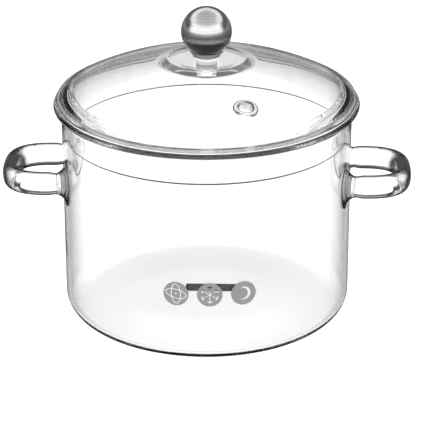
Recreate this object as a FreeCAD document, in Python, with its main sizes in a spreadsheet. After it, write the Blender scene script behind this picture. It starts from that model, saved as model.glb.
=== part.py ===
"""Saucepan with a domed glass lid: a parametric FreeCAD model in millimetres.

Frame: +Z up, origin at the centre of the base on the resting plane, +X towards the right-hand
handle, -Y towards the printed side. Each sub-part is written to parts/<node>.step.
"""
import FreeCAD, Part
import Sketcher
import math
import os

# ---------------------------------------------------------------- driving dimensions

DIMENSIONS = {
    # vessel
    "pot_height": 115.0,           # rim of the vessel above the resting plane
    "pot_radius": 75.0,            # outside of the straight wall
    "wall": 2.0,                   # side wall thickness
    "floor_wall": 2.6,             # floor thickness outside the push-up
    "heel_radius": 10.0,           # outside corner between wall and floor
    "push_up_radius": 50.0,        # shallow recess under the floor
    "push_up_rise": 0.8,
    "push_up_slope": 3.0,          # width of the step round the recess
    "flare_radius": 6.0,           # bend of the wall's middle line below the lip
    "flare_angle": 66.0,           # how far the wall bends outwards, in degrees
    "lip_radius": 1.5,             # fire-polished bead along the rim
    # handles
    "handle_level": 75.0,          # middle plane above the resting plane
    "handle_reach": 106.5,         # outermost face from the vessel's axis
    "handle_leg_offset": 20.5,     # centre line of a leg from the XZ plane
    "handle_thick": 8.8,           # bar across, seen from above
    "handle_tall": 12.0,           # bar from bottom to top
    "handle_round": 3.8,           # rounding of the bar's edges
    "handle_bend": 14.0,           # bend of the centre line at the two outer corners
    "root_length": 8.0,            # stretch of leg outside the wall that swells towards it
    "root_tall": 19.0,             # half height of the swelling where its loft ends, inside the wall
    "root_wide": 14.5,             # half width of the swelling there
    # lid
    "lid_radius": 77.5,            # outermost edge
    "lid_wall": 2.8,               # dome thickness
    "lid_edge_radius": 1.5,        # rounded edge of the dome
    "lid_slope": 29.0,             # slope of the dome at its edge, in degrees
    "lid_sink": 0.25,              # underside of the edge below the rim plane when seated
    "skirt_radius": 72.3,          # outside of the ring that drops into the vessel
    "skirt_wall": 2.0,
    "skirt_depth": 18.2,           # lower edge of the ring below the rim plane
    "boss_radius": 20.5,           # raised seat under the knob
    "boss_round": 1.2,
    "boss_thick": 4.2,
    "boss_pad_radius": 14.0,       # flat under the boss
    "lid_hole_radius": 4.0,
    "vent_offset": 53.5,           # vent from the axis
    "vent_angle": -67.0,           # direction of the vent seen from above, in degrees
    "vent_radius": 3.5,
    "vent_bead_radius": 4.95,      # centre line of the bead round the vent
    "vent_bead_round": 1.45,
    # knob and its fastening
    "knob_radius": 13.0,
    "knob_shell": 0.9,
    "knob_opening": 4.5,           # hole in the underside of the ball
    "neck_foot_radius": 6.8,
    "neck_top_radius": 8.6,
    "washer_thick": 1.0,           # silicone washers above and below the glass
    "upper_washer_radius": 6.4,
    "lower_washer_radius": 5.8,
    "bush_clearance": 0.05,        # running gap between the bush and the glass
    "bush_wall": 1.5,
    "face_gap": 0.02,              # running gap between washers and glass
    "cup_radius": 5.5,
    "cup_thick": 0.8,
    "cup_lip": 0.9,
    "lock_radius": 3.7,
    "lock_thick": 0.9,
    "lock_slot": 1.0,
    "screw_radius": 2.0,           # M4
    "screw_clearance": 0.15,
    "screw_head_radius": 3.8,
    "screw_head_tall": 2.6,
    "screw_length": 17.5,          # shank under the head
    "recess_depth": 1.6,
    "recess_width": 0.9,
    "recess_span": 3.6,
    "insert_radius": 4.3,
    "insert_flange_radius": 7.0,
    "insert_flange_thick": 1.5,
    "insert_tall": 11.0,
    # fired enamel marks
    "enamel": 0.12,
    "enamel_bite": 0.04,           # how far the enamel has melted into the glass
    "symbol_radius": 6.4,
    "symbol_level": 38.7,
    "symbol_pitch": 13.0,          # between neighbouring discs round the wall, in degrees
    "symbol_middle": -87.0,        # direction of the middle disc, in degrees
    "mark_long": 30.0,             # plain bar under the floor
    "mark_wide": 9.0,
    "mark_offset_across": 3.0,
    "mark_offset_back": 10.0,
}

doc = FreeCAD.newDocument("saucepan")
sheet = doc.addObject("Spreadsheet::Sheet", "Sizes")
for row, (alias, number) in enumerate(DIMENSIONS.items(), start=1):
    cell = "A%d" % row
    sheet.set(cell, "%g" % number)
    sheet.setAlias(cell, alias)
doc.recompute()


class Size:
    """A length or angle that knows its number and the spreadsheet expression it comes from."""

    def __init__(self, number, text):
        self.number = float(number)
        self.text = text

    def _join(self, other, sign, number):
        return Size(number, "(%s %s %s)" % (self.text, sign, other.text))

    def __add__(self, other):
        other = as_size(other)
        return self._join(other, "+", self.number + other.number)

    def __sub__(self, other):
        other = as_size(other)
        return self._join(other, "-", self.number - other.number)

    def __mul__(self, other):
        other = as_size(other)
        return self._join(other, "*", self.number * other.number)

    def __truediv__(self, other):
        other = as_size(other)
        return self._join(other, "/", self.number / other.number)

    def __neg__(self):
        return as_size(0) - self


def as_size(value):
    return value if isinstance(value, Size) else Size(value, "%g" % value)


def dim(alias):
    """The size held in the spreadsheet under this alias."""
    return Size(sheet.get(alias), "Sizes." + alias)


def sine(angle):
    return Size(math.sin(math.radians(angle.number)), "sin(%s)" % angle.text)


def cosine(angle):
    return Size(math.cos(math.radians(angle.number)), "cos(%s)" % angle.text)


def root(value):
    return Size(math.sqrt(value.number), "sqrt(%s)" % value.text)


def sphere_height(radius, distance):
    """Height of a sphere's surface above its centre, at this distance from its vertical axis."""
    return root(radius * radius - distance * distance)


# ---------------------------------------------------------------- levels worked out from the sizes

ZERO = as_size(0)
RIM = dim("pot_height")
POT_INSIDE = dim("pot_radius") - dim("wall")

FLARE_START = RIM - dim("lip_radius") - dim("flare_radius") * sine(dim("flare_angle"))
FLARE_CENTRE = dim("pot_radius") - dim("wall") / 2 + dim("flare_radius")
LIP_CENTRE = FLARE_CENTRE - dim("flare_radius") * cosine(dim("flare_angle"))

SEAT = RIM - dim("lid_sink")
EDGE_CENTRE = dim("lid_radius") - dim("lid_edge_radius")
DOME_FOOT = EDGE_CENTRE + dim("lid_edge_radius") * sine(dim("lid_slope"))
DOME_FOOT_LEVEL = SEAT + dim("lid_edge_radius") + dim("lid_edge_radius") * cosine(dim("lid_slope"))
DOME_RADIUS = DOME_FOOT / sine(dim("lid_slope"))
DOME_CENTRE = DOME_FOOT_LEVEL - DOME_RADIUS * cosine(dim("lid_slope"))
DOME_INSIDE = DOME_RADIUS - dim("lid_wall")
BOSS_TOP = DOME_CENTRE + DOME_RADIUS
BOSS_UNDER = BOSS_TOP - dim("boss_thick")

NECK_FOOT = BOSS_TOP + dim("face_gap") + dim("washer_thick")
KNOB_CENTRE = NECK_FOOT + dim("knob_radius")
WASHER_UNDER = BOSS_UNDER - dim("face_gap") - dim("washer_thick")
CUP_UNDER = WASHER_UNDER - dim("cup_thick")
LOCK_UNDER = CUP_UNDER - dim("lock_thick")
SCREW_CLEAR = dim("screw_radius") + dim("screw_clearance")


# ---------------------------------------------------------------- builders

nodes = []


def keep(item, label):
    """Registers a sub-part under the name its file gets."""
    item.Label = label
    nodes.append(item)
    return item


def origin_plane(body, role):
    return next(item for item in body.Origin.OriginFeatures if item.Role == role)


def line_to(across, up):
    return ("line", as_size(across), as_size(up), None, 0)


def arc_to(across, up, radius, turn):
    """An arc to this point. turn is +1 when it runs anticlockwise in the sketch, -1 clockwise."""
    return ("arc", as_size(across), as_size(up), radius, turn)


def arc_centre(start, end, radius, turn):
    """Centre of the shorter arc of this radius from start to end."""
    chord = end - start
    reach = math.sqrt(max(radius ** 2 - (chord.Length / 2) ** 2, 0.0))
    sideways = FreeCAD.Vector(-chord.y, chord.x, 0).normalize() * turn
    return (start + end) * 0.5 + sideways * reach


def add_outline(sketch, steps):
    """Draws a closed outline from line_to and arc_to steps; each end point is tied to the sheet.

    The first step's line closes the outline, from the last step's point.
    """
    corners = [FreeCAD.Vector(step[1].number, step[2].number, 0) for step in steps]
    edges = []
    for index, (kind, _across, _up, radius, turn) in enumerate(steps):
        start, end = corners[index - 1], corners[index]
        if kind == "line":
            edges.append((sketch.addGeometry(Part.LineSegment(start, end), False), 1, 2))
            continue
        centre = arc_centre(start, end, radius.number, turn)
        circle = Part.Circle(centre, FreeCAD.Vector(0, 0, 1), radius.number)
        first, last = (start, end) if turn > 0 else (end, start)
        arc = Part.ArcOfCircle(circle, circle.parameter(first), circle.parameter(last))
        ends = (1, 2) if turn > 0 else (2, 1)
        edges.append((sketch.addGeometry(arc, False),) + ends)
    for index, (_kind, across, up, radius, _turn) in enumerate(steps):
        edge, _begin, finish = edges[index]
        following, begin, _finish = edges[(index + 1) % len(edges)]
        sketch.addConstraint(Sketcher.Constraint("Coincident", edge, finish, following, begin))
        tie(sketch, Sketcher.Constraint("DistanceX", edge, finish, across.number), across)
        tie(sketch, Sketcher.Constraint("DistanceY", edge, finish, up.number), up)
        if radius is not None:
            tie(sketch, Sketcher.Constraint("Radius", edge, radius.number), radius)


def tie(sketch, constraint, size):
    """Adds a dimension to a sketch and binds it to the sheet."""
    number = sketch.addConstraint(constraint)
    sketch.setExpression("Constraints[%d]" % number, size.text)


def new_sketch(body, role, name):
    sketch = body.newObject("Sketcher::SketchObject", name)
    sketch.AttachmentSupport = [(origin_plane(body, role), "")]
    sketch.MapMode = "FlatFace"
    return sketch


def turned_body(name, steps):
    """A body of revolution about Z whose half section is the outline in the XZ plane."""
    body = doc.addObject("PartDesign::Body", name)
    sketch = new_sketch(body, "XZ_Plane", name + "_section")
    add_outline(sketch, steps)
    turn = body.newObject("PartDesign::Revolution", name + "_turn")
    turn.Profile = sketch
    turn.ReferenceAxis = (sketch, ["V_Axis"])
    turn.Angle = 360
    sketch.Visibility = False
    doc.recompute()
    return body


def ring_steps(inside, outside, bottom, top):
    return [line_to(inside, bottom), line_to(outside, bottom), line_to(outside, top), line_to(inside, top)]


def bind(item, **sizes):
    for name, size in sizes.items():
        item.setExpression(name, as_size(size).text)


def place(item, across=ZERO, back=ZERO, up=ZERO, yaw=None, pitch=None):
    """Binds a placement to the sheet: first tipped about Y by pitch, then turned about Z by yaw."""
    rotation = ""
    if yaw is not None:
        rotation = "rotation(vector(0; 0; 1); %s)" % yaw.text
    if pitch is not None:
        tip = "rotation(vector(0; 1; 0); %s)" % pitch.text
        rotation = "%s * %s" % (rotation, tip) if rotation else tip
    offset = "vector(%s; %s; %s)" % (as_size(across).text, as_size(back).text, as_size(up).text)
    text = "placement(%s; %s)" % (offset, rotation or "rotation(vector(0; 0; 1); 0)")
    item.setExpression("Placement", text)


def primitive(kind, name, **sizes):
    item = doc.addObject("Part::" + kind, name)
    bind(item, **sizes)
    return item


def cut(name, base, tool):
    item = doc.addObject("Part::Cut", name)
    item.Base = base
    item.Tool = tool
    return item


# ---------------------------------------------------------------- vessel


def make_pot():
    wall_out = dim("pot_radius")
    heel_in = dim("heel_radius") - dim("wall")
    floor = dim("floor_wall")
    rise = dim("push_up_rise")
    recess = dim("push_up_radius")
    recess_top = recess - dim("push_up_slope")
    half_wall = dim("wall") / 2
    outer_bend = dim("flare_radius") - half_wall
    inner_bend = dim("flare_radius") + half_wall
    lean_across, lean_up = cosine(dim("flare_angle")), sine(dim("flare_angle"))
    body = turned_body("pot_glass", [
        line_to(ZERO, rise),
        line_to(recess_top, rise),
        line_to(recess, ZERO),
        line_to(wall_out - dim("heel_radius"), ZERO),
        arc_to(wall_out, dim("heel_radius"), dim("heel_radius"), 1),
        line_to(wall_out, FLARE_START),
        arc_to(FLARE_CENTRE - outer_bend * lean_across, FLARE_START + outer_bend * lean_up, outer_bend, -1),
        line_to(FLARE_CENTRE - inner_bend * lean_across, FLARE_START + inner_bend * lean_up),
        arc_to(POT_INSIDE, FLARE_START, inner_bend, 1),
        line_to(POT_INSIDE, floor + heel_in),
        arc_to(POT_INSIDE - heel_in, floor, heel_in, -1),
        line_to(recess, floor),
        line_to(recess_top, floor + rise),
        line_to(ZERO, floor + rise),
    ])
    lip = body.newObject("PartDesign::AdditiveTorus", "pot_lip")
    bind(lip, Radius1=LIP_CENTRE, Radius2=dim("lip_radius"))
    lip.AttachmentSupport = [(origin_plane(body, "XY_Plane"), "")]
    lip.MapMode = "FlatFace"
    lip.setExpression("AttachmentOffset.Base.z", (RIM - dim("lip_radius")).text)
    doc.recompute()
    keep(body, "pot_body")


# ---------------------------------------------------------------- handles

ROOT_SLIM = 0.9                    # size of the root's first section against the leg's
ROOT_STATIONS = [                  # place along the root, from its inner end, and share of the swelling
    (1.0, 0.0),
    (0.78, 0.03),
    (0.6, 0.16),
    (0.4, 0.45),
    (0.0, 1.0),
]


def handle_bar(body):
    """The bent bar, padded from its plan and rounded along every long edge."""
    half = dim("handle_thick") / 2
    reach_out = dim("handle_reach")
    reach_in = reach_out - dim("handle_thick")
    leg_out = dim("handle_leg_offset") + half
    leg_in = dim("handle_leg_offset") - half
    bend_out = dim("handle_bend") + half
    bend_in = dim("handle_bend") - half
    start = dim("pot_radius") - dim("heel_radius")
    plan = new_sketch(body, "XY_Plane", body.Name + "_plan")
    add_outline(plan, [
        line_to(start, -leg_out),
        line_to(reach_out - bend_out, -leg_out),
        arc_to(reach_out, bend_out - leg_out, bend_out, 1),
        line_to(reach_out, leg_out - bend_out),
        arc_to(reach_out - bend_out, leg_out, bend_out, 1),
        line_to(start, leg_out),
        line_to(start, leg_in),
        line_to(reach_in - bend_in, leg_in),
        arc_to(reach_in, leg_in - bend_in, bend_in, -1),
        line_to(reach_in, bend_in - leg_in),
        arc_to(reach_in - bend_in, -leg_in, bend_in, -1),
        line_to(start, -leg_in),
    ])
    pad = body.newObject("PartDesign::Pad", body.Name + "_pad")
    pad.Profile = plan
    pad.setExpression("Length", dim("handle_tall").text)
    pad.Midplane = True
    plan.Visibility = False
    doc.recompute()
    flat_faces = ["Face%d" % number for number, face in enumerate(pad.Shape.Faces, start=1)
                  if face.BoundBox.ZLength < 1e-6]
    rounding = body.newObject("PartDesign::Fillet", body.Name + "_rounding")
    rounding.Base = (pad, flat_faces)
    rounding.setExpression("Radius", dim("handle_round").text)
    doc.recompute()


def handle_root(body, side):
    """One leg's swelling towards the wall: a loft through ellipses parallel to the YZ plane.

    It starts hidden inside the leg and ends inside the vessel's wall line, where it is cut off.
    """
    slim_tall = dim("handle_tall") / 2 * ROOT_SLIM
    slim_wide = dim("handle_thick") / 2 * ROOT_SLIM
    inner_end = dim("pot_radius") - dim("heel_radius")
    stretch = dim("heel_radius") + dim("root_length")
    sections = []
    for number, (along, swell) in enumerate(ROOT_STATIONS):
        sketch = new_sketch(body, "YZ_Plane", "%s_root_%s_%d" % (body.Name, side_name(side), number))
        sketch.setExpression("AttachmentOffset.Base.z", (inner_end + stretch * along).text)
        tall = slim_tall + (dim("root_tall") - slim_tall) * swell
        wide = slim_wide + (dim("root_wide") - slim_wide) * swell
        add_ellipse(sketch, dim("handle_leg_offset") * side, wide, tall)
        sketch.Visibility = False
        sections.append(sketch)
    doc.recompute()
    loft = body.newObject("PartDesign::AdditiveLoft", "%s_root_%s" % (body.Name, side_name(side)))
    loft.Profile = sections[0]
    loft.Sections = sections[1:]
    doc.recompute()


def side_name(side):
    return "back" if side > 0 else "front"


def add_ellipse(sketch, across, wide, tall):
    """An ellipse centred on the sketch's first axis, taller than it is wide."""
    centre = FreeCAD.Vector(across.number, 0, 0)
    top = centre + FreeCAD.Vector(0, tall.number, 0)
    flank = centre + FreeCAD.Vector(wide.number, 0, 0)
    curve = sketch.addGeometry(Part.Ellipse(top, flank, centre), False)
    sketch.exposeInternalGeometry(curve)
    major, minor = curve + 1, curve + 2
    tie(sketch, Sketcher.Constraint("DistanceX", curve, 3, across.number), across)
    sketch.addConstraint(Sketcher.Constraint("PointOnObject", curve, 3, -1))
    sketch.addConstraint(Sketcher.Constraint("Vertical", major))
    tie(sketch, Sketcher.Constraint("Distance", major, 2 * tall.number), tall * 2)
    tie(sketch, Sketcher.Constraint("Distance", minor, 2 * wide.number), wide * 2)


def make_handle(label, yaw):
    """A loop of bar whose two roots are shaped to the vessel's wall."""
    body = doc.addObject("PartDesign::Body", label + "_bar")
    handle_bar(body)
    for side in (-1, 1):
        handle_root(body, side)
    place(body, up=dim("handle_level"), yaw=as_size(yaw))
    wall = primitive("Cylinder", label + "_wall", Radius=dim("pot_radius"), Height=RIM)
    keep(cut(label + "_cut", body, wall), label)


# ---------------------------------------------------------------- lid


def make_lid_dome():
    boss_foot = dim("boss_radius")
    boss_flat = boss_foot - dim("boss_round")
    pad = dim("boss_pad_radius")
    dome = turned_body("lid_shell", [
        line_to(dim("lid_hole_radius"), BOSS_UNDER),
        line_to(pad, BOSS_UNDER),
        line_to(pad + dim("boss_round"), DOME_CENTRE + sphere_height(DOME_INSIDE, pad + dim("boss_round"))),
        arc_to(EDGE_CENTRE - dim("lid_edge_radius"), DOME_CENTRE
               + sphere_height(DOME_INSIDE, EDGE_CENTRE - dim("lid_edge_radius")), DOME_INSIDE, -1),
        line_to(EDGE_CENTRE, SEAT),
        arc_to(DOME_FOOT, DOME_FOOT_LEVEL, dim("lid_edge_radius"), 1),
        arc_to(boss_foot, DOME_CENTRE + sphere_height(DOME_RADIUS, boss_foot), DOME_RADIUS, 1),
        line_to(boss_flat, BOSS_TOP),
        line_to(dim("lid_hole_radius"), BOSS_TOP),
    ])
    drill = primitive("Cylinder", "vent_drill", Radius=dim("vent_radius"), Height=DOME_RADIUS * 1.1)
    tip = vent_tip()
    place(drill, up=DOME_CENTRE, yaw=dim("vent_angle"), pitch=tip)
    keep(cut("lid_shell_vented", dome, drill), "lid_dome")


def vent_tip():
    """Angle between the vertical and the dome's normal at the vent, in degrees."""
    ratio = dim("vent_offset") / DOME_RADIUS
    return Size(math.degrees(math.asin(ratio.number)), "asin(%s)" % ratio.text)


def make_vent_bead():
    """A glass bead along the mouth of the vent, fused onto the dome's outside."""
    tip = vent_tip()
    bead = primitive("Torus", "vent_ring", Radius1=dim("vent_bead_radius"), Radius2=dim("vent_bead_round"))
    reach = DOME_RADIUS * sine(tip)
    place(bead, reach * cosine(dim("vent_angle")), reach * sine(dim("vent_angle")),
          DOME_CENTRE + DOME_RADIUS * cosine(tip), dim("vent_angle"), tip)
    dome = primitive("Sphere", "vent_dome", Radius=DOME_RADIUS - dim("enamel_bite"))
    place(dome, up=DOME_CENTRE)
    keep(cut("vent_bead_cut", bead, dome), "vent_bead")


def make_lid_skirt():
    outside = dim("skirt_radius")
    inside = outside - dim("skirt_wall")
    bottom = RIM - dim("skirt_depth")
    rounding = dim("skirt_wall") / 2
    keep(turned_body("lid_ring", [
        line_to(inside, bottom + rounding),
        arc_to(inside + rounding, bottom, rounding, 1),
        arc_to(outside, bottom + rounding, rounding, 1),
        line_to(outside, DOME_CENTRE + sphere_height(DOME_INSIDE, outside)),
        arc_to(inside, DOME_CENTRE + sphere_height(DOME_INSIDE, inside), DOME_INSIDE, 1),
    ]), "lid_skirt")


# ---------------------------------------------------------------- knob and its fastening


def make_knob_ball():
    outer = dim("knob_radius")
    inner = outer - dim("knob_shell")
    opening = dim("knob_opening")
    keep(turned_body("ball_shell", [
        line_to(opening, KNOB_CENTRE - sphere_height(outer, opening)),
        arc_to(outer, KNOB_CENTRE, outer, 1),
        arc_to(ZERO, KNOB_CENTRE + outer, outer, 1),
        line_to(ZERO, KNOB_CENTRE + inner),
        arc_to(inner, KNOB_CENTRE, inner, -1),
        arc_to(opening, KNOB_CENTRE - sphere_height(inner, opening), inner, -1),
    ]), "knob_ball")


def make_knob_neck():
    """The flared ferrule that carries the ball on its hollowed top."""
    seat = dim("knob_radius")
    top_radius = dim("neck_top_radius")
    bore = dim("knob_opening")
    keep(turned_body("neck_ring", [
        line_to(SCREW_CLEAR, NECK_FOOT),
        line_to(dim("neck_foot_radius"), NECK_FOOT),
        line_to(top_radius, KNOB_CENTRE - sphere_height(seat, top_radius)),
        arc_to(bore, KNOB_CENTRE - sphere_height(seat, bore), seat, -1),
        line_to(SCREW_CLEAR, KNOB_CENTRE - sphere_height(seat, bore)),
    ]), "knob_neck")


def make_knob_insert():
    """The threaded boss welded inside the ball."""
    shell_inside = dim("knob_radius") - dim("knob_shell")
    foot = KNOB_CENTRE - sphere_height(dim("knob_radius"), dim("knob_opening"))
    flange = KNOB_CENTRE - sphere_height(shell_inside, dim("insert_flange_radius")) + dim("face_gap")
    flange_top = flange + dim("insert_flange_thick")
    top = foot + dim("insert_tall")
    blind_end = top - dim("insert_flange_thick")
    keep(turned_body("insert_boss", [
        line_to(SCREW_CLEAR, foot),
        line_to(dim("insert_radius"), foot),
        line_to(dim("insert_radius"), flange),
        line_to(dim("insert_flange_radius"), flange),
        line_to(dim("insert_flange_radius"), flange_top),
        line_to(dim("insert_radius"), flange_top),
        line_to(dim("insert_radius"), top),
        line_to(ZERO, top),
        line_to(ZERO, blind_end),
        line_to(SCREW_CLEAR, blind_end),
    ]), "knob_insert")


def make_washers():
    """The silicone parts that keep steel off the glass."""
    keep(turned_body("washer_above", ring_steps(
        SCREW_CLEAR, dim("upper_washer_radius"), BOSS_TOP + dim("face_gap"), NECK_FOOT)), "upper_washer")
    bush_outside = dim("lid_hole_radius") - dim("bush_clearance")
    keep(turned_body("bush_tube", ring_steps(
        bush_outside - dim("bush_wall"), bush_outside, BOSS_UNDER, BOSS_TOP)), "hole_bush")
    keep(turned_body("washer_below", ring_steps(
        SCREW_CLEAR, dim("lower_washer_radius"), WASHER_UNDER, BOSS_UNDER - dim("face_gap"))), "lower_washer")


def make_cup_washer():
    """A pressed steel washer whose turned-down rim keeps the silicone flat."""
    rim_inside = dim("cup_radius") - dim("cup_thick")
    keep(turned_body("cup_ring", [
        line_to(SCREW_CLEAR, CUP_UNDER),
        line_to(rim_inside, CUP_UNDER),
        line_to(rim_inside, CUP_UNDER - dim("cup_lip")),
        line_to(dim("cup_radius"), CUP_UNDER - dim("cup_lip")),
        line_to(dim("cup_radius"), WASHER_UNDER),
        line_to(SCREW_CLEAR, WASHER_UNDER),
    ]), "cup_washer")


def make_lock_washer():
    """A split spring washer."""
    ring = turned_body("lock_ring", ring_steps(SCREW_CLEAR, dim("lock_radius"), LOCK_UNDER, CUP_UNDER))
    slot = primitive("Box", "lock_gap", Length=dim("lock_radius") * 2, Width=dim("lock_slot"),
                     Height=dim("lock_thick") * 2)
    place(slot, ZERO, -dim("lock_slot") / 2, LOCK_UNDER - dim("lock_thick") / 2)
    keep(cut("lock_ring_split", ring, slot), "lock_washer")


def make_screw():
    """A pan-head screw with a cross recess."""
    head_round = dim("screw_head_tall") / 2
    head_bottom = LOCK_UNDER - dim("screw_head_tall")
    body = turned_body("screw_blank", [
        line_to(ZERO, head_bottom),
        line_to(dim("screw_head_radius") - head_round, head_bottom),
        arc_to(dim("screw_head_radius"), head_bottom + head_round, head_round, 1),
        line_to(dim("screw_head_radius"), LOCK_UNDER),
        line_to(dim("screw_radius"), LOCK_UNDER),
        line_to(dim("screw_radius"), LOCK_UNDER + dim("screw_length")),
        line_to(ZERO, LOCK_UNDER + dim("screw_length")),
    ])
    span, width = dim("recess_span"), dim("recess_width")
    blades = []
    for name, across, back in (("recess_a", span, width), ("recess_b", width, span)):
        blade = primitive("Box", name, Length=across, Width=back, Height=dim("recess_depth") * 2)
        place(blade, -across / 2, -back / 2, head_bottom - dim("recess_depth"))
        blades.append(blade)
    cross = doc.addObject("Part::Fuse", "recess")
    cross.Base, cross.Tool = blades
    keep(cut("screw_cut", body, cross), "knob_screw")


# ---------------------------------------------------------------- enamel marks


def make_wall_symbols():
    """Three thin discs of enamel fired onto the outside of the wall."""
    skin = primitive("Cylinder", "enamel_outside", Radius=dim("pot_radius") + dim("enamel"), Height=RIM)
    core = primitive("Cylinder", "enamel_inside", Radius=dim("pot_radius") - dim("enamel_bite"), Height=RIM)
    punches = []
    for number in (-1, 0, 1):
        punch = primitive("Cylinder", "punch_%d" % (number + 1), Radius=dim("symbol_radius"),
                          Height=dim("pot_radius") * 2)
        place(punch, up=dim("symbol_level"), yaw=dim("symbol_middle") + dim("symbol_pitch") * number,
              pitch=as_size(90))
        punches.append(punch)
    discs = doc.addObject("Part::MultiFuse", "punches")
    discs.Shapes = punches
    inside = cut("enamel_shell", skin, core)
    marks = doc.addObject("Part::Common", "enamel_discs")
    marks.Base, marks.Tool = inside, discs
    keep(marks, "wall_symbols")


def make_base_mark():
    """A plain bar of enamel in the recess under the floor."""
    bar = primitive("Box", "enamel_bar", Length=dim("mark_long"), Width=dim("mark_wide"),
                    Height=dim("enamel") + dim("enamel_bite"))
    place(bar, dim("mark_offset_across") - dim("mark_long") / 2,
          dim("mark_offset_back") - dim("mark_wide") / 2, dim("push_up_rise") - dim("enamel"))
    keep(bar, "base_mark")


# ---------------------------------------------------------------- assembly

make_pot()
make_handle("handle_right", 0)
make_handle("handle_left", 180)
make_wall_symbols()
make_base_mark()
make_lid_dome()
make_lid_skirt()
make_vent_bead()
make_knob_ball()
make_knob_neck()
make_knob_insert()
make_washers()
make_cup_washer()
make_lock_washer()
make_screw()
doc.recompute()

for item in doc.Objects:
    if "Invalid" in item.State or "Error" in item.State:
        raise RuntimeError("%s did not compute: %s" % (item.Label, item.State))

os.makedirs("parts", exist_ok=True)
for node in nodes:
    if node.Shape.isNull() or not node.Shape.isValid():
        raise RuntimeError("%s has no valid shape" % node.Label)
    node.Shape.exportStep(os.path.join("parts", node.Label + ".step"))
    print("%-14s solids %d volume %10.2f mm3" % (node.Label, len(node.Shape.Solids), node.Shape.Volume))
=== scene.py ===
"""Looks for a glass saucepan with a domed glass lid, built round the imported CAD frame.

Blender units are metres in the CAD's own frame: +Z up, origin at the centre of the base, +X towards the
right-hand handle, -Y towards the printed side. Sizes are read from the boxes of the CAD's nodes where they
can be, and the others repeat the part's own. Where blown glass and turned steel are rounder than the CAD,
they are chosen for their look: the base and its heel, the collar under the knob, the handles' bends and
roots, and the rings on the knob's neck.
"""
import math

import bmesh
import bpy
import numpy as np
from mathutils import Matrix, Vector


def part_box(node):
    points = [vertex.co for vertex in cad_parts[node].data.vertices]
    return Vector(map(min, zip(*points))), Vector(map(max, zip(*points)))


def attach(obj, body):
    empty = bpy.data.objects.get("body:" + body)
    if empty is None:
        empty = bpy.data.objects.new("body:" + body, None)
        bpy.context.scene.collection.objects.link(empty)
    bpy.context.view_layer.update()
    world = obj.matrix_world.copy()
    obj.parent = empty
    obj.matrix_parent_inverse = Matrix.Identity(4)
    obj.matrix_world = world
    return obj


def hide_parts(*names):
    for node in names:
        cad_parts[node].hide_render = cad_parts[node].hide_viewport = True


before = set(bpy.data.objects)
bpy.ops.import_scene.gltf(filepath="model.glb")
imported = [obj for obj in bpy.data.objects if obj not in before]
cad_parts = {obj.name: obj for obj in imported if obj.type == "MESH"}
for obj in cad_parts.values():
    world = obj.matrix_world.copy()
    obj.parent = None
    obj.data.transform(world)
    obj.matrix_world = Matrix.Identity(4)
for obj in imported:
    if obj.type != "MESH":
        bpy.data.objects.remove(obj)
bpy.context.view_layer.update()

MM = 0.001
TURN = 2 * math.pi

# ---------------------------------------------------------------- sizes of the vessel and lid

pot_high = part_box("pot_body")[1]
skirt_low, skirt_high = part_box("lid_skirt")
dome_low, dome_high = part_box("lid_dome")
bead_low, bead_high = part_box("vent_bead")
ball_low, ball_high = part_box("knob_ball")
neck_low, neck_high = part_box("knob_neck")
grip_low, grip_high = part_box("handle_right")
mark_low, mark_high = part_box("base_mark")
symbols_low, symbols_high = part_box("wall_symbols")

RIM = pot_high.z                                   # top of the vessel's lip
LIP_OUTSIDE = pot_high.x
LIP_ROUND = 1.5 * MM
LIP_MIDDLE = LIP_OUTSIDE - LIP_ROUND
WALL = 2.0 * MM
BEND = 6.0 * MM                                    # radius of the flare's middle line
BEND_ANGLE = math.radians(66)
POT_OUTSIDE = LIP_MIDDLE - BEND * (1 - math.cos(BEND_ANGLE)) + WALL / 2
FLARE_START = RIM - LIP_ROUND - BEND * math.sin(BEND_ANGLE)
HEEL = 10.0 * MM
HEEL_INSIDE = 6.5 * MM
FLOOR = 3.0 * MM
PUSH_UP = 44.0 * MM                                # middle of the slope round the hollow under the base
PUSH_UP_BLEND = 16.0 * MM                          # half the width of that slope
PUSH_UP_RISE = 0.8 * MM

LID_OUTSIDE = dome_high.x
LID_WALL = 2.8 * MM
LID_EDGE = 1.5 * MM
LID_SLOPE = math.radians(29)                       # how steeply the dome meets its edge
LID_SEAT = dome_low.z
EDGE_MIDDLE = LID_OUTSIDE - LID_EDGE
DOME_FOOT = EDGE_MIDDLE + LID_EDGE * math.sin(LID_SLOPE)
DOME_RADIUS = DOME_FOOT / math.sin(LID_SLOPE)
DOME_CENTRE = LID_SEAT + LID_EDGE * (1 + math.cos(LID_SLOPE)) - DOME_RADIUS * math.cos(LID_SLOPE)
DOME_INSIDE = DOME_RADIUS - LID_WALL
LID_HOLE = 4.0 * MM
BOSS = 19.7 * MM                                   # radius of the flat collar that carries the knob
BOSS_TOP = dome_high.z
BOSS_THICK = 4.2 * MM
BOSS_FOOT = 5.5 * MM                               # width of the hollow curve round the collar's foot
BOSS_PAD = 10.0 * MM                               # radius of the flat under the collar
PAD_BLEND = 9.0 * MM

SKIRT_OUTSIDE = skirt_high.x
SKIRT_WALL = 2.0 * MM
SKIRT_FILLET = 2.6 * MM
SKIRT_EASE = 0.6 * MM                              # rounding of the skirt's ground lower edge
BITE = 0.3 * MM                                    # how deep fused glass is set into what it joins

VENT = Vector(((bead_low.x + bead_high.x) / 2, (bead_low.y + bead_high.y) / 2, 0))
VENT_RADIUS = 3.5 * MM
BEAD_MIDDLE = 4.95 * MM
BEAD_ROUND = 1.45 * MM

# ---------------------------------------------------------------- profiles and solids


def eased(share):
    """Runs from 0 to 1 with a level start and a level end."""
    return 0.5 - 0.5 * math.cos(share * math.pi)


def arc(across, up, radius, start, end, steps):
    """Points along an arc in a profile; angles in degrees, anticlockwise from outwards."""
    angles = np.radians(np.linspace(start, end, steps + 1))
    return [(across + radius * math.cos(a), up + radius * math.sin(a)) for a in angles]


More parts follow.
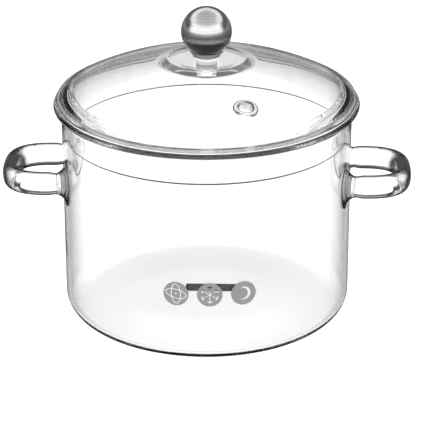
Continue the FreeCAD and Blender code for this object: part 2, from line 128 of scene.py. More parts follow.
def distances(line):
    """How far along a line each of its points lies."""
    return np.concatenate([[0], np.cumsum(np.linalg.norm(np.diff(line, axis=0), axis=1))])


def even_points(line, count, endpoint=True):
    """A number of evenly spaced points along a line."""
    gone = distances(line)
    spots = np.linspace(0, gone[-1], count, endpoint=endpoint)
    return np.stack([np.interp(spots, gone, line[:, k]) for k in (0, 1)], axis=1)


def polished(points, closed, step=0.25 * MM, soften=2.2, turn=math.radians(6), longest=5 * MM):
    """Fire-polishes an outline.

    It is split into even steps and its corners are blurred over `soften` of them. A point is then kept
    wherever the line has turned by `turn` or gone on for `longest` since the last one.
    """
    line = np.array(points + points[:1] if closed else points)
    line = even_points(line, int(distances(line)[-1] / step), endpoint=not closed)
    reach = int(4 * soften)
    weights = np.exp(-0.5 * (np.arange(-reach, reach + 1) / soften) ** 2)
    weights /= weights.sum()
    if closed:
        before, after = line[-reach:], line[:reach]
    else:
        before, after = 2 * line[0] - line[reach:0:-1], 2 * line[-1] - line[-2:-reach - 2:-1]
    padded = np.concatenate([before, line, after])
    soft = np.stack([np.convolve(padded[:, k], weights, "valid") for k in (0, 1)], axis=1)
    headings = np.unwrap(np.arctan2(*np.diff(soft, axis=0).T[::-1]))
    kept = [0]
    for index in range(1, len(soft) - 1):
        bent = abs(headings[index] - headings[kept[-1]])
        gone = np.linalg.norm(soft[index] - soft[kept[-1]])
        if bent > turn or gone > longest:
            kept.append(index)
    if not closed:
        kept.append(len(soft) - 1)
    return soft[kept]


ON_AXIS = 1e-7                                     # a profile point nearer the axis than this is a pole


def lathe(name, outline, closed, segments=240, matrix=None):
    """A smooth solid of revolution about Z from a profile of (radius, height) points."""
    around = np.linspace(0, TURN, segments, endpoint=False)
    points, rings = [], []
    for radius, height in outline:
        if radius < ON_AXIS:
            rings.append([len(points)])
            points.append((0, 0, height))
        else:
            rings.append(list(range(len(points), len(points) + segments)))
            points += [(radius * math.cos(a), radius * math.sin(a), height) for a in around]
    faces = []
    for low, high in zip(rings, rings[1:] + rings[:1] if closed else rings[1:]):
        if len(low) == len(high) == 1:
            continue
        for k in range(segments):
            after = (k + 1) % segments
            if len(low) == 1:
                faces.append((low[0], high[after], high[k]))
            elif len(high) == 1:
                faces.append((low[k], low[after], high[0]))
            else:
                faces.append((low[k], low[after], high[after], high[k]))
    return new_piece(name, points, faces, matrix)


def new_piece(name, points, faces, matrix=None):
    """A smooth-shaded mesh object whose faces point outwards."""
    mesh = bpy.data.meshes.new(name)
    mesh.from_pydata([tuple(p) for p in points], [], faces)
    if matrix is not None:
        mesh.transform(matrix)
    bm = bmesh.new()
    bm.from_mesh(mesh)
    bmesh.ops.recalc_face_normals(bm, faces=bm.faces)
    bm.to_mesh(mesh)
    bm.free()
    mesh.shade_smooth()
    piece = bpy.data.objects.new(name, mesh)
    bpy.context.scene.collection.objects.link(piece)
    return piece


def cut_away(piece, cutter):
    """Cuts a closed shape out of a piece, and removes the shape."""
    cut = piece.modifiers.new("cut", "BOOLEAN")
    cut.operation = "DIFFERENCE"
    cut.solver = "EXACT"
    cut.object = cutter
    bpy.context.view_layer.update()
    result = bpy.data.meshes.new_from_object(piece.evaluated_get(bpy.context.evaluated_depsgraph_get()))
    piece.modifiers.clear()
    piece.data = result
    bpy.data.objects.remove(cutter)


# ---------------------------------------------------------------- vessel


def circles_meet(a, a_radius, b, b_radius):
    """Where two circles of a profile cross, to the left of the way from the first to the second."""
    a, b = Vector(a), Vector(b)
    gap = b - a
    along = (a_radius ** 2 - b_radius ** 2 + gap.length_squared) / (2 * gap.length)
    off = math.sqrt(a_radius ** 2 - along ** 2)
    unit = gap.normalized()
    return a + unit * along + Vector((-unit.y, unit.x)) * off


def angle_to(centre, point):
    """The heading of a point from a centre, in degrees as arc() takes them."""
    return math.degrees(math.atan2(point[1] - centre[1], point[0] - centre[0]))


def pot_outline():
    """From the middle of the base out, up the wall, over the flared lip and down the inside."""
    bend = (POT_OUTSIDE - WALL / 2 + BEND, FLARE_START)
    lip = (LIP_MIDDLE, RIM - LIP_ROUND)
    outer, inner = BEND - WALL / 2, BEND + WALL / 2
    under_lip = circles_meet(bend, outer, lip, LIP_ROUND)
    over_lip = circles_meet(bend, inner, lip, LIP_ROUND)
    base = [(PUSH_UP + PUSH_UP_BLEND * (2 * share - 1), PUSH_UP_RISE * (1 - eased(share)))
            for share in np.linspace(0, 1, 13)]
    points = [(0, PUSH_UP_RISE)] + base + [(POT_OUTSIDE - HEEL, 0)]
    points += arc(POT_OUTSIDE - HEEL, HEEL, HEEL, -90, 0, 24)
    points += arc(*bend, outer, 180, angle_to(bend, under_lip), 12)
    points += arc(*lip, LIP_ROUND, angle_to(lip, under_lip), angle_to(lip, over_lip) % 360, 28)
    points += arc(*bend, inner, angle_to(bend, over_lip), 180, 12)
    points += arc(POT_OUTSIDE - WALL - HEEL_INSIDE, FLOOR + HEEL_INSIDE, HEEL_INSIDE, 0, -90, 20)
    points += [(across, up + FLOOR) for across, up in reversed(base)]
    points += [(0, PUSH_UP_RISE + FLOOR)]
    return polished(points, closed=False)


def make_pot():
    """The blown vessel: base, wall and flared lip in one."""
    outline = pot_outline()
    outline[0][0] = outline[-1][0] = 0
    pot = lathe("pot_vessel", outline, closed=False)
    return finish_piece(pot, "pot", "borosilicate_glass", sheet_glass, "pot_body")


# ---------------------------------------------------------------- handles

BAR_TALL = 12.0 * MM
BAR_THICK = 8.8 * MM
BAR_SQUARENESS = 2.6                               # exponent of the bar's rounded-rectangle section
ROOT_SQUARENESS = 2.1
LOOP_START = 80.0 * MM                             # where the legs begin to bend towards each other
LOOP_SQUARENESS = 2.9
LEG_OFFSET = 20.5 * MM
FILLET_REACH = 5.5 * MM                            # how far the root's fillet runs out along the leg
FILLET_TALL = 6.0 * MM
FILLET_WIDE = 3.0 * MM
WAIST_DEPTH = 0.5 * MM
WAIST_AT = 5.0 * MM
WAIST_SPREAD = 2.4 * MM
HUG = 5.0 * MM                                     # how soon the rings stop following the wall's curve


def root_size(away):
    """How much taller and wider a leg is at this distance from the wall."""
    share = max(0.0, 1 - away / FILLET_REACH)
    swell = 1 - math.sqrt(max(0.0, 1 - share ** 2))
    waist = WAIST_DEPTH * math.exp(-((away - WAIST_AT) / WAIST_SPREAD) ** 2)
    return FILLET_TALL * swell - waist, FILLET_WIDE * swell - waist


def section(tall, wide, squareness, count=64):
    """A closed superellipse, as (sideways, up) pairs."""
    pairs = []
    for k in range(count):
        c, s = math.cos(TURN * k / count), math.sin(TURN * k / count)
        reach = (abs(c) ** squareness + abs(s) ** squareness) ** (-1 / squareness)
        pairs.append((wide * c * reach, tall * s * reach))
    return pairs


def leg_rings(level):
    """Rings of points along the front leg, from its root on the wall to where it starts to bend."""
    wall_at_leg = math.sqrt(POT_OUTSIDE ** 2 - LEG_OFFSET ** 2)
    near = [FILLET_REACH * (1 - math.sin(math.radians(a))) for a in np.linspace(90, 0, 24)]
    far = np.linspace(FILLET_REACH, LOOP_START - wall_at_leg, 5)[1:]
    rings = []
    for away in near + list(far):
        taller, wider = root_size(away)
        squareness = ROOT_SQUARENESS + (BAR_SQUARENESS - ROOT_SQUARENESS) * min(1.0, away / FILLET_REACH)
        hug = math.exp(-(away / HUG) ** 2)
        ring = []
        for side, up in section(BAR_TALL / 2 + taller, BAR_THICK / 2 + wider, squareness):
            across = -LEG_OFFSET + side
            curve = math.sqrt(POT_OUTSIDE ** 2 - across ** 2) - wall_at_leg
            ring.append(Vector((wall_at_leg + away + hug * curve, across, level + up)))
        rings.append(ring)
    return rings


def bend_rings(level):
    """Rings of points round the bend, from the front leg to the middle of the bar."""
    reach = grip_high.x - BAR_THICK / 2
    angles = np.radians(np.linspace(90, 0, 600))
    loop = np.stack([LOOP_START + (reach - LOOP_START) * np.cos(angles) ** (2 / LOOP_SQUARENESS),
                     -LEG_OFFSET * np.sin(angles) ** (2 / LOOP_SQUARENESS)], axis=1)
    middle = even_points(loop, 44)
    along = np.gradient(middle, axis=0)
    along[-1] = (0, 1)
    rings = []
    for spot, heading in list(zip(middle, along))[1:]:
        heading = heading / np.linalg.norm(heading)
        inwards = Vector((-heading[1], heading[0]))
        rings.append([Vector((*(Vector(spot) + inwards * side), level + up))
                      for side, up in section(BAR_TALL / 2, BAR_THICK / 2, BAR_SQUARENESS)])
    return rings


def root_cap(ring, level):
    """Closes a root inside the wall: rings that grow from almost a point, just under the wall's face."""
    inside = POT_OUTSIDE - BITE
    caps = []
    for share in (0.98, 0.686, 0.392, 0.147, 0.0):
        shrunk = []
        for spot in ring:
            across = spot.y + (-LEG_OFFSET - spot.y) * share
            up = spot.z + (level - spot.z) * share
            shrunk.append(Vector((math.sqrt(inside ** 2 - across ** 2), across, up)))
        caps.append(shrunk)
    return caps


def make_handle(name, node, yaw):
    """A bar of glass bent into a loop, made as half a loop and its mirror image."""
    level = (grip_low.z + grip_high.z) / 2
    leg = leg_rings(level)
    half = root_cap(leg[0], level) + leg + bend_rings(level)
    rings = half + [[Vector((p.x, -p.y, p.z)) for p in ring] for ring in half[-2::-1]]
    count = len(rings[0])
    points = [p for ring in rings for p in ring]
    faces = []
    for start in range(0, len(points) - count, count):
        for k in range(count):
            after = (k + 1) % count
            faces.append((start + k, start + after, start + count + after, start + count + k))
    faces.append(tuple(range(count)))
    faces.append(tuple(range(len(points) - count, len(points))))
    handle = new_piece(name, points, faces, Matrix.Rotation(yaw, 4, "Z"))
    return finish_piece(handle, "pot", "borosilicate_glass", rod_glass, node)


# ---------------------------------------------------------------- lid


def sphere_at(radius, away):
    """Height of a dome-centred sphere at this distance from the axis."""
    return DOME_CENTRE + math.sqrt(radius ** 2 - away ** 2)


def sphere_arc(radius, start, end, steps):
    """Points along a dome-centred sphere from one distance from the axis to another."""
    angles = np.linspace(math.asin(start / radius), math.asin(end / radius), steps + 1)
    return [(radius * math.sin(a), DOME_CENTRE + radius * math.cos(a)) for a in angles]


def dome_outline():
    """From the knob's hole along the underside, round the edge and back over the top to the collar."""
    under = BOSS_TOP - BOSS_THICK
    ceiling = sphere_at(DOME_INSIDE, BOSS_PAD + PAD_BLEND)
    foot = sphere_at(DOME_RADIUS, BOSS + BOSS_FOOT)
    points = [(LID_HOLE, BOSS_TOP), (LID_HOLE, under), (BOSS_PAD, under)]
    points += [(BOSS_PAD + PAD_BLEND * share, under + (ceiling - under) * eased(share))
               for share in np.linspace(0.1, 0.9, 9)]
    points += sphere_arc(DOME_INSIDE, BOSS_PAD + PAD_BLEND, EDGE_MIDDLE - LID_EDGE, 40)
    points += arc(EDGE_MIDDLE, LID_SEAT + LID_EDGE, LID_EDGE, -90, 90 - math.degrees(LID_SLOPE), 20)
    points += sphere_arc(DOME_RADIUS, DOME_FOOT, BOSS + BOSS_FOOT, 40)
    points += [(BOSS + BOSS_FOOT * (1 - share), foot + (BOSS_TOP - foot) * eased(share))
               for share in np.linspace(0.06, 1, 14)]
    return polished(points, closed=True)


def vent_matrix():
    """Local frame at the dome's centre whose Z axis runs through the vent."""
    tip = math.asin(VENT.length / DOME_RADIUS)
    yaw = math.atan2(VENT.y, VENT.x)
    turn = Matrix.Rotation(yaw, 4, "Z") @ Matrix.Rotation(tip, 4, "Y")
    return Matrix.Translation((0, 0, DOME_CENTRE)) @ turn


def make_dome():
    """The pressed dome, with the vent drilled square to its surface."""
    dome = lathe("lid_dome_glass", dome_outline(), closed=True)
    matrix = vent_matrix()
    low, high = DOME_RADIUS - 20 * MM, DOME_RADIUS + 20 * MM
    ends = [(0, low), (VENT_RADIUS, low), (VENT_RADIUS, high), (0, high)]
    cut_away(dome, lathe("drill", ends, closed=False, segments=72, matrix=matrix))
    smooth_round_vent(dome.data, matrix)
    return finish_piece(dome, "lid", "borosilicate_glass", sheet_glass, "lid_dome")


def smooth_round_vent(mesh, matrix):
    """Gives the glass round the drilled vent the true normals of its two spheres and its bore."""
    mesh.shade_smooth()
    centre = matrix.translation
    axis = matrix.to_3x3() @ Vector((0, 0, 1))
    reach = 16 * MM                                # takes in every face that the drill has split
    normals = [Vector((0, 0, 0))] * len(mesh.loops)
    for face in mesh.polygons:
        away = face.center - centre
        if (away - axis * away.dot(axis)).length > reach or away.dot(axis) < 0:
            continue
        in_bore = abs(face.normal.dot(axis)) < 0.5
        for index in face.loop_indices:
            spot = mesh.vertices[mesh.loops[index].vertex_index].co - centre
            outwards = spot - axis * spot.dot(axis) if in_bore else spot
            outwards = outwards.normalized()
            normals[index] = outwards if outwards.dot(face.normal) > 0 else -outwards
    mesh.normals_split_custom_set(normals)


def make_bead():
    """The bead of glass round the vent, set slightly into the dome along a parallel sphere."""
    seat = DOME_RADIUS - BITE
    inner, outer = BEAD_MIDDLE - BEAD_ROUND, BEAD_MIDDLE + BEAD_ROUND
    ease = 0.02 * MM
    points = arc(BEAD_MIDDLE, DOME_RADIUS, BEAD_ROUND, -8, 188, 24)
    points += [(inner + ease, math.sqrt(seat ** 2 - inner ** 2))]
    points += [(away, math.sqrt(seat ** 2 - away ** 2)) for away in np.linspace(inner, outer, 8)[1:]]
    outline = polished(points, closed=True, step=0.06 * MM, soften=1.5, longest=2 * MM)
    bead = lathe("vent_bead_glass", outline, closed=True, segments=96, matrix=vent_matrix())
    return finish_piece(bead, "lid", "borosilicate_glass", rod_glass, "vent_bead")


def flare_up(radius, side):
    """The quarter curve by which one face of the skirt runs out into the dome's underside."""
    curve = []
    for a in np.radians(np.linspace(0, 80, 12)):
        across = radius + side * SKIRT_FILLET * (1 - math.cos(a))
        ceiling = sphere_at(DOME_INSIDE, across)
        curve.append((across, ceiling - SKIRT_FILLET * (1 - math.sin(a))))
    return curve


def make_skirt():
    """The ring under the dome: its lower edge ground flat, its top flared into the dome's underside."""
    inside = SKIRT_OUTSIDE - SKIRT_WALL
    low, eased_low = skirt_low.z, skirt_low.z + SKIRT_EASE
    points = [(inside + SKIRT_EASE, low), (SKIRT_OUTSIDE - SKIRT_EASE, low), (SKIRT_OUTSIDE, eased_low)]
    points += flare_up(SKIRT_OUTSIDE, 1)
    points += sphere_arc(DOME_INSIDE + BITE, SKIRT_OUTSIDE + SKIRT_FILLET, inside - SKIRT_FILLET, 10)
    points += flare_up(inside, -1)[::-1]
    points += [(inside, eased_low)]
    outline = polished(points, closed=True, step=0.12 * MM, soften=0.9)
    skirt = lathe("lid_skirt_glass", outline, closed=True)
    finish_piece(skirt, "lid", "borosilicate_glass", sheet_glass, "lid_skirt")
    skirt.data.materials.append(ground_glass_painted_dark())
    for face in skirt.data.polygons:
        if face.center.z < eased_low and face.normal.z < -0.1:
            face.material_index = 1


# ---------------------------------------------------------------- knob

BALL_MIDDLE = (ball_high.x - ball_low.x) / 2       # the ball's radius, half its width
BALL_CENTRE = ball_high.z - BALL_MIDDLE
BALL_SHELL = 0.9 * MM
BALL_OPENING = 4.5 * MM
NECK_BORE = 2.4 * MM
NECK_FOOT = 7.3 * MM
NECK_TOP = neck_high.x
NECK_GROOVE = 0.5 * MM
# the neck's outside as pairs of radius and share of its height: a ring, a groove and a wider ring
NECK_PROFILE = [(NECK_FOOT - 0.3 * MM, 0.0), (NECK_FOOT, 0.1), (NECK_FOOT, 0.36),
                (NECK_FOOT - NECK_GROOVE, 0.42), (NECK_FOOT - NECK_GROOVE, 0.48),
                (NECK_TOP - NECK_GROOVE, 0.62), (NECK_TOP, 0.72), (NECK_TOP, 0.88),
                (NECK_TOP - 1.0 * MM, 1.0)]


def make_ball():
    """A hollow steel ball, open underneath where its neck is welded in."""
    inner = BALL_MIDDLE - BALL_SHELL
    low_out = -90 + math.degrees(math.asin(BALL_OPENING / BALL_MIDDLE))
    low_in = -90 + math.degrees(math.asin(BALL_OPENING / inner))
    outside = arc(0, BALL_CENTRE, BALL_MIDDLE, low_out, 90, 72)
    lining = arc(0, BALL_CENTRE, inner, 90, low_in, 48)
    outside[-1], lining[0] = (0, ball_high.z), (0, ball_high.z - BALL_SHELL)
    ball = lathe("knob_ball_shell", outside + lining, closed=True, segments=160)
    return finish_piece(ball, "knob", "brushed_steel", brushed_steel, "knob_ball")


def make_neck():
    """The flared neck between the ball and the upper washer, turned with two rings."""
    foot, top = neck_low.z, neck_high.z
    points = [(NECK_BORE, foot)]
    points += [(radius, foot + share * (top - foot)) for radius, share in NECK_PROFILE]
    points += [(NECK_BORE, top)]
    outline = polished(points, closed=True, step=0.06 * MM, soften=0.7, longest=2 * MM)
    neck = lathe("knob_neck_turned", outline, closed=True, segments=120)
    return finish_piece(neck, "knob", "polished_steel", polished_steel, "knob_neck")


# ---------------------------------------------------------------- printed enamel

DISC = 6.4 * MM
DISC_SPREAD = math.radians(13)
DISC_MIDDLE = math.radians(-87)
DISC_LEVEL = (symbols_low.z + symbols_high.z) / 2
ENAMEL = 0.12 * MM
ENAMEL_BITE = 0.04 * MM                            # how deep the enamel is set into the wall
MARK_CORNER = 1.2 * MM


def prism(outline, half_depth):
    """A flat shape with depth along Z, as mesh points and faces."""
    count = len(outline)
    points = [(x, y, z) for z in (-half_depth, half_depth) for x, y in outline]
    faces = [tuple(range(count)), tuple(range(count, 2 * count))]
    faces += [(k, (k + 1) % count, count + (k + 1) % count, count + k) for k in range(count)]
    return points, faces


def ring_prism(outside, inside, half_depth):
    """A band with depth along Z between two outlines with the same number of points."""
    count = len(outside)
    points = [(x, y, z) for z in (-half_depth, half_depth) for x, y in outside + inside]
    faces = []
    for k in range(count):
        after = (k + 1) % count
        low = (k, after, count + after, count + k)
        high = tuple(2 * count + corner for corner in low)
        faces += [low, high, (low[0], low[1], high[1], high[0]), (low[3], low[2], high[2], high[3])]
    return points, faces


def bar(start, end, width):
    """The outline of a straight stroke from one point of a drawing to another."""
    along = (end - start).normalized() * width / 2
    side = Vector((-along.y, along.x))
    corners = (start - along - side, end + along - side, end + along + side, start - along + side)
    return [tuple(corner) for corner in corners]


def ellipse(wide, tall, tilt, count=48):
    """The outline of an ellipse turned anticlockwise by its tilt."""
    c, s = math.cos(tilt), math.sin(tilt)
    flat = [(wide * math.cos(TURN * k / count), tall * math.sin(TURN * k / count)) for k in range(count)]
    return [(x * c - y * s, x * s + y * c) for x, y in flat]


# A drawing is a list of outlines to be left clear, each with a second one inside it or None.


def crossed_ellipses():
    """A tall and a wide ring that cross, and a dot in the middle."""
    half_length, half_width, line, dot = 5.5 * MM, 2.6 * MM, 0.5 * MM, 0.5 * MM
    rings = []
    for tilt in (math.radians(94), math.radians(-12)):
        rings.append((ellipse(half_length, half_width, tilt),
                      ellipse(half_length - line, half_width - line, tilt)))
    return rings + [(ellipse(dot, dot, 0), None)]


def six_arm_star():
    """Six thin arms, each with a short bar across it near its end."""
    line, start, tip, bar_at, half_bar = 0.36 * MM, 0.1 * MM, 4.6 * MM, 4.1 * MM, 0.75 * MM
    strokes = []
    for k in range(6):
        a = TURN * (k / 6 + 0.25)
        out = Vector((math.cos(a), math.sin(a)))
        half = Vector((-out.y, out.x)) * half_bar
        strokes.append((bar(out * start, out * tip, line), None))
        strokes.append((bar(out * bar_at - half, out * bar_at + half, 2 * line), None))
    return strokes


def crescent():
    """A thin moon, open to the left."""
    radius, hollow_at, hollow_wide, hollow_tall = 3.6 * MM, -1.0 * MM, 3.2 * MM, 3.1 * MM
    back = [(radius * math.cos(a), radius * math.sin(a)) for a in np.radians(np.linspace(-125, 125, 40))]
    front = [(hollow_at + hollow_wide * math.cos(a), hollow_tall * math.sin(a))
             for a in np.radians(np.linspace(105, -105, 28))]
    return [(back + front, None)]


def make_disc(name, drawing, heading):
    """A disc of enamel with its drawing left clear, wrapped onto the wall at a heading."""
    depth = (ENAMEL + ENAMEL_BITE) / 2
    hub, through = 1 * MM, 1 * MM
    radii = list(np.linspace(hub, DISC, 7))
    rows = [(0, -depth)] + [(r, -depth) for r in radii] + [(r, depth) for r in radii[::-1]] + [(0, depth)]
    disc = lathe(name, rows, closed=False, segments=72)
    for outside, inside in drawing:
        shape = ring_prism(outside, inside, through) if inside else prism(outside, through)
        cut_away(disc, new_piece("cutter", *shape))
    for vertex in disc.data.vertices:
        across, up, out = vertex.co
        angle = heading + across / POT_OUTSIDE
        reach = POT_OUTSIDE - ENAMEL_BITE + depth + out
        vertex.co = (reach * math.cos(angle), reach * math.sin(angle), DISC_LEVEL + up)
    disc.data.shade_flat()
    return finish_piece(disc, "pot", "grey_enamel", grey_enamel)


def make_discs():
    """The three printed discs, which together stand for one CAD node."""
    left = make_disc("disc_ellipses", crossed_ellipses(), DISC_MIDDLE - DISC_SPREAD)
    make_disc("disc_star", six_arm_star(), DISC_MIDDLE)
    make_disc("disc_crescent", crescent(), DISC_MIDDLE + DISC_SPREAD)
    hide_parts("wall_symbols")


def make_base_mark():
    """A dark round-ended bar under the floor."""
    middle = (mark_low + mark_high) / 2
    half = (mark_high - mark_low) / 2
    outline = []
    for sx, sy, start in ((1, 1, 0), (-1, 1, 90), (-1, -1, 180), (1, -1, 270)):
        x, y = middle.x + sx * (half.x - MARK_CORNER), middle.y + sy * (half.y - MARK_CORNER)
        outline += arc(x, y, MARK_CORNER, start, start + 90, 10)
    points, faces = prism(outline, half.z)
    mark = new_piece("base_bar", points, faces, Matrix.Translation((0, 0, middle.z)))
    mark.data.shade_flat()
    return finish_piece(mark, "pot", "dark_enamel", dark_enamel, "base_mark")


# ---------------------------------------------------------------- material building blocks


def grey(level):
    return (level, level, level)


def start_material(name):
    """A new material, its node tree and its shader."""
    material = bpy.data.materials.new(name)
    material.use_nodes = True
    tree = material.node_tree
    return material, tree, tree.nodes["Principled BSDF"]


def noise(tree, scale, detail=3.0, stretch=(1, 1, 1)):
    """Noise that stays put on the object, its features stretched along each axis."""
    place = tree.nodes.new("ShaderNodeTexCoord")
    mapping = tree.nodes.new("ShaderNodeMapping")
    mapping.inputs["Scale"].default_value = stretch
    texture = tree.nodes.new("ShaderNodeTexNoise")
    texture.inputs["Scale"].default_value = scale
    texture.inputs["Detail"].default_value = detail
    tree.links.new(place.outputs["Object"], mapping.inputs["Vector"])
    tree.links.new(mapping.outputs["Vector"], texture.inputs["Vector"])
    return texture.outputs["Fac"]


def remap(tree, source, start, end, low=0.0, high=1.0, smooth=False):
    """Maps values running from start to end onto low to high, eased at both ends if smooth."""
    span = tree.nodes.new("ShaderNodeMapRange")
    if smooth:
        span.interpolation_type = "SMOOTHSTEP"
    for socket, value in (("From Min", start), ("From Max", end), ("To Min", low), ("To Max", high)):
        span.inputs[socket].default_value = value
    tree.links.new(source, span.inputs["Value"])
    return span.outputs["Result"]


def between(tree, source, low, high):
    """Maps noise from its usual 0.3 to 0.7 onto a range of values."""
    return remap(tree, source, 0.3, 0.7, low, high)


def mix_colours(tree, share, first, second):
    """Goes from a first colour to a second; each is three numbers or another node's output."""
    mix = tree.nodes.new("ShaderNodeMix")
    mix.data_type = "RGBA"
    for socket, colour in (("A", first), ("B", second)):
        if isinstance(colour, tuple):
            mix.inputs[socket].default_value = (*colour, 1)
        else:
            tree.links.new(colour, mix.inputs[socket])
    tree.links.new(share, mix.inputs["Factor"])
    return mix.outputs["Result"]


def noisy_colour(tree, source, first, second):
    """A colour that wanders between two with the noise."""
    return mix_colours(tree, between(tree, source, 0, 1), first, second)


def bump(tree, shader, source, distance, strength=1.0):
    """Raises the surface a little with the noise."""
    node = tree.nodes.new("ShaderNodeBump")
    node.inputs["Distance"].default_value = distance
    node.inputs["Strength"].default_value = strength
    tree.links.new(source, node.inputs["Height"])
    tree.links.new(node.outputs["Normal"], shader.inputs["Normal"])


# ---------------------------------------------------------------- materials


def clear_glass(name, edge_start, edge_end, painted_edge_shade):
    """Colourless blown glass: slightly wavy, faintly smeared, and darkened where rays meet it at a slant,
    as painted shade that draws its dark edges.

    The painted edge shade grows from none at edge_start to all of it at edge_end, both as slants from 0 to
    1.
    """
    material, tree, shader = start_material(name)
    shader.inputs["Transmission Weight"].default_value = 1.0
    shader.inputs["IOR"].default_value = 1.47
    clear = noisy_colour(tree, noise(tree, 30), (0.975, 0.985, 0.982), grey(1.0))
    facing = tree.nodes.new("ShaderNodeLayerWeight")
    facing.inputs["Blend"].default_value = 0.5
    # painted shade: the glass's colour darkens towards its edges as the slant grows
    slant = remap(tree, facing.outputs["Facing"], edge_start, edge_end, smooth=True)
    tree.links.new(mix_colours(tree, slant, clear, grey(painted_edge_shade)), shader.inputs["Base Color"])
    tree.links.new(between(tree, noise(tree, 45, 4), 0.0, 0.006), shader.inputs["Roughness"])
    bump(tree, shader, noise(tree, 22, 1.0), 0.12 * MM)
    return material


def sheet_glass():
    """The thin walls of the vessel and lid."""
    return clear_glass("sheet_glass", 0.45, 0.95, 0.25)


def rod_glass():
    """Solid glass: the bars of the handles and the bead round the vent."""
    return clear_glass("rod_glass", 0.15, 0.6, 0.003)


def ground_glass_painted_dark():
    """Glass ground flat with a fine grit: dull and not see-through, its near-black colour painted shade for
    the dark line along the skirt's lower edge.
    """
    material, tree, shader = start_material("ground_glass_painted_dark")
    grit = noise(tree, 2500, 3)
    # painted shade: near black, far darker than ground glass under any lamp
    colour = noisy_colour(tree, grit, (0.015, 0.016, 0.016), (0.05, 0.052, 0.052))
    tree.links.new(colour, shader.inputs["Base Color"])
    tree.links.new(between(tree, grit, 0.5, 0.7), shader.inputs["Roughness"])
    return material


def brushed_steel():
    """Stainless steel brushed round the knob's axis, with a painted dark reflection that turns its colour
    near black on the ball's lower half.
    """
    material, tree, shader = start_material("brushed_steel")
    shader.inputs["Metallic"].default_value = 1.0
    shader.inputs["Anisotropic"].default_value = 0.6
    shader.inputs["Anisotropic Rotation"].default_value = 0.25
    around = tree.nodes.new("ShaderNodeTangent")
    around.direction_type = "RADIAL"
    around.axis = "Z"
    tree.links.new(around.outputs["Tangent"], shader.inputs["Tangent"])
    place = tree.nodes.new("ShaderNodeTexCoord")
    split = tree.nodes.new("ShaderNodeSeparateXYZ")
    tree.links.new(place.outputs["Object"], split.inputs["Vector"])
    # painted dark reflection: the colour runs from near black low on the ball to the steel's own just above
    # its middle
    painted_shade_full, painted_shade_gone = BALL_CENTRE - 0.3 * BALL_MIDDLE, BALL_CENTRE + 0.08 * BALL_MIDDLE
    unshaded_share = remap(tree, split.outputs["Z"], painted_shade_full, painted_shade_gone, smooth=True)
    streaks = noise(tree, 220, 4, stretch=(0.12, 0.12, 14))
    bright = noisy_colour(tree, streaks, grey(0.66), grey(0.92))
    tree.links.new(mix_colours(tree, unshaded_share, grey(0.03), bright), shader.inputs["Base Color"])
    tree.links.new(between(tree, streaks, 0.14, 0.26), shader.inputs["Roughness"])
    bump(tree, shader, streaks, 0.01 * MM, 0.4)
    return material


def polished_steel():
    """Bright turned steel with faint tool lines."""
    material, tree, shader = start_material("polished_steel")
    shader.inputs["Metallic"].default_value = 0.5
    lines = noise(tree, 200, 3, stretch=(0.2, 0.2, 10))
    tree.links.new(noisy_colour(tree, lines, grey(0.34), (0.5, 0.5, 0.49)), shader.inputs["Base Color"])
    tree.links.new(between(tree, lines, 0.08, 0.2), shader.inputs["Roughness"])
    return material


def clear_silicone():
    """Soft, milky silicone with a fine dusty bloom; a faint white emission is painted light, standing for
    the light scattered inside it.
    """
    material, tree, shader = start_material("silicone")
    shader.inputs["IOR"].default_value = 1.41
    shader.inputs["Transmission Weight"].default_value = 0.15
    # painted light: a faint glow, though the silicone is no lamp
    shader.inputs["Emission Color"].default_value = (1, 1, 1, 1)
    shader.inputs["Emission Strength"].default_value = 0.35
    grain = noise(tree, 900, 4)
    tree.links.new(noisy_colour(tree, grain, grey(0.93), grey(0.99)), shader.inputs["Base Color"])
    tree.links.new(between(tree, grain, 0.12, 0.25), shader.inputs["Roughness"])
    bump(tree, shader, grain, 0.02 * MM, 0.5)
    return material


def printed_enamel(name, first, second):
    """Fired enamel ink: matt, with the small unevenness of screen printing."""
    material, tree, shader = start_material(name)
    grain = noise(tree, 1500, 3)
    tree.links.new(noisy_colour(tree, grain, first, second), shader.inputs["Base Color"])
    tree.links.new(between(tree, grain, 0.35, 0.5), shader.inputs["Roughness"])
    bump(tree, shader, grain, 0.01 * MM, 0.4)
    return material


def grey_enamel():
    return printed_enamel("grey_enamel", grey(0.27), grey(0.31))


def dark_enamel():
    # near black, with the grain and roughness of the discs' enamel
    return printed_enamel("dark_enamel", (0.012, 0.012, 0.013), (0.03, 0.03, 0.031))


# ---------------------------------------------------------------- finishing

made_materials = {}


def dress(piece, finish):
    """Gives a piece its finish, made once and shared."""
    if finish not in made_materials:
        made_materials[finish] = finish()
    piece.data.materials.clear()
    piece.data.materials.append(made_materials[finish])


def finish_piece(piece, body, slot_name, finish, *nodes):
    """Dresses a new piece, fixes it to its body and lets it stand for its CAD nodes."""
    dress(piece, finish)
    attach(piece, body)
    if nodes:
        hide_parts(*nodes)
    return piece


# ---------------------------------------------------------------- studio

# brightness of the surroundings by elevation in degrees: towards the key light, and everywhere else
KEY_SIDE = [(-89, 0.03), (-25, 0.08), (-1, 0.2), (0, 0.35), (2, 0.6), (5, 1.3), (34, 1.3), (46, 0.6),
            (89, 0.5)]
FAR_SIDE = [(-89, 0.03), (-25, 0.08), (-1, 0.2), (0, 0.35), (4, 0.35), (6, 0.1), (27, 0.1), (33, 1.0),
            (47, 1.0), (58, 0.55), (89, 0.5)]
KEY_EDGE = (0.1, -0.35)                            # Y of a direction where the key light starts and is full

FLOOR_WIDTH = 80.0
FLOOR_LEVEL = -0.4 * MM
GLOW_RADII = (1.8, 4.5)                            # the floor glows inside the first, fading by the second
GLOW_NEAR = 1.15
GLOW_FAR = 0.2


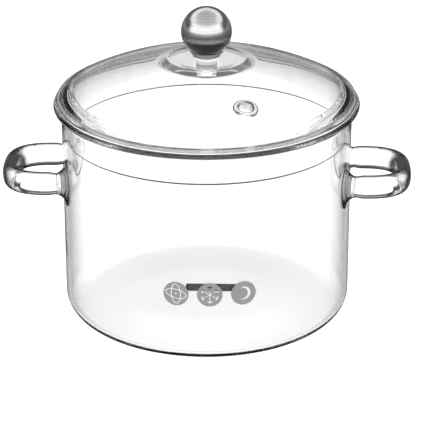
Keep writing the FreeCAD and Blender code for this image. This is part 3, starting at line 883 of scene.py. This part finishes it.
def make_world():
    """A studio with a wide soft key light in front; a dark band low down behind draws the glass's edges."""
    world = bpy.data.worlds.new("studio")
    bpy.context.scene.world = world
    world.use_nodes = True
    tree = world.node_tree
    direction = tree.nodes.new("ShaderNodeTexCoord")
    split = tree.nodes.new("ShaderNodeSeparateXYZ")
    tree.links.new(direction.outputs["Generated"], split.inputs["Vector"])
    height = remap(tree, split.outputs["Z"], -1.0, 1.0)
    sides = []
    for bands in (FAR_SIDE, KEY_SIDE):
        ramp = tree.nodes.new("ShaderNodeValToRGB")
        stops = ramp.color_ramp.elements
        for elevation, level in bands:
            stop = stops.new((1 + math.sin(math.radians(elevation))) / 2)
            stop.color = (*grey(level), 1)
        stops.remove(stops[0])
        stops.remove(stops[-1])
        tree.links.new(height, ramp.inputs["Fac"])
        sides.append(ramp.outputs["Color"])
    towards_key = remap(tree, split.outputs["Y"], *KEY_EDGE, smooth=True)
    tree.links.new(mix_colours(tree, towards_key, *sides), tree.nodes["Background"].inputs["Color"])


def make_floor():
    """A wide pale sheet, left out of mirror reflections so that glass keeps its dark edges."""
    bpy.ops.mesh.primitive_plane_add(size=FLOOR_WIDTH, location=(0, 0, FLOOR_LEVEL))
    floor = bpy.context.object
    floor.name = "floor"
    material, tree, shader = start_material("paper")
    grain = noise(tree, 40, 4)
    tree.links.new(noisy_colour(tree, grain, grey(0.18), grey(0.2)), shader.inputs["Base Color"])
    shader.inputs["Roughness"].default_value = 0.9
    shader.inputs["Emission Color"].default_value = (1, 1, 1, 1)
    place = tree.nodes.new("ShaderNodeTexCoord")
    away = tree.nodes.new("ShaderNodeVectorMath")
    away.operation = "LENGTH"
    tree.links.new(place.outputs["Object"], away.inputs[0])
    glow = remap(tree, away.outputs["Value"], *GLOW_RADII, GLOW_NEAR, GLOW_FAR, smooth=True)
    tree.links.new(glow, shader.inputs["Emission Strength"])
    floor.data.materials.append(material)
    floor.visible_glossy = False


LOOKS_AT = Vector((7.0, -3.9, 50.3)) * MM
AZIMUTH = math.radians(1.62)
ELEVATION = math.radians(23.63)
DISTANCE = 1.1232
LENS = 174.6                                       # in millimetres, as is the sensor
SENSOR = 36.0


def make_camera():
    """Looks at the pot from in front and above."""
    data = bpy.data.cameras.new("camera")
    data.lens = LENS
    data.sensor_width = SENSOR
    camera = bpy.data.objects.new("camera", data)
    bpy.context.scene.collection.objects.link(camera)
    flat = math.cos(ELEVATION)
    back = Vector((math.sin(AZIMUTH) * flat, -math.cos(AZIMUTH) * flat, math.sin(ELEVATION)))
    camera.location = LOOKS_AT + back * DISTANCE
    camera.rotation_euler = back.to_track_quat("Z", "Y").to_euler()
    bpy.context.scene.camera = camera


def set_light_paths():
    """Lets light through every layer of glass, which takes more bounces than usual."""
    scene = bpy.context.scene
    scene.view_settings.view_transform = "Standard"
    scene.cycles.max_bounces = 48
    scene.cycles.transmission_bounces = 48
    scene.cycles.glossy_bounces = 24
    scene.cycles.transparent_max_bounces = 16


# ---------------------------------------------------------------- build

make_pot()
make_handle("handle_right_bar", "handle_right", 0)
make_handle("handle_left_bar", "handle_left", math.pi)
make_dome()
make_bead()
make_skirt()
make_ball()
make_neck()
make_discs()
make_base_mark()

for node in ("upper_washer", "hole_bush", "lower_washer"):
    dress(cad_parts[node], clear_silicone)
for node in ("knob_insert", "cup_washer", "lock_washer", "knob_screw"):
    dress(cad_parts[node], polished_steel)

make_world()
make_floor()
make_camera()
set_light_paths()
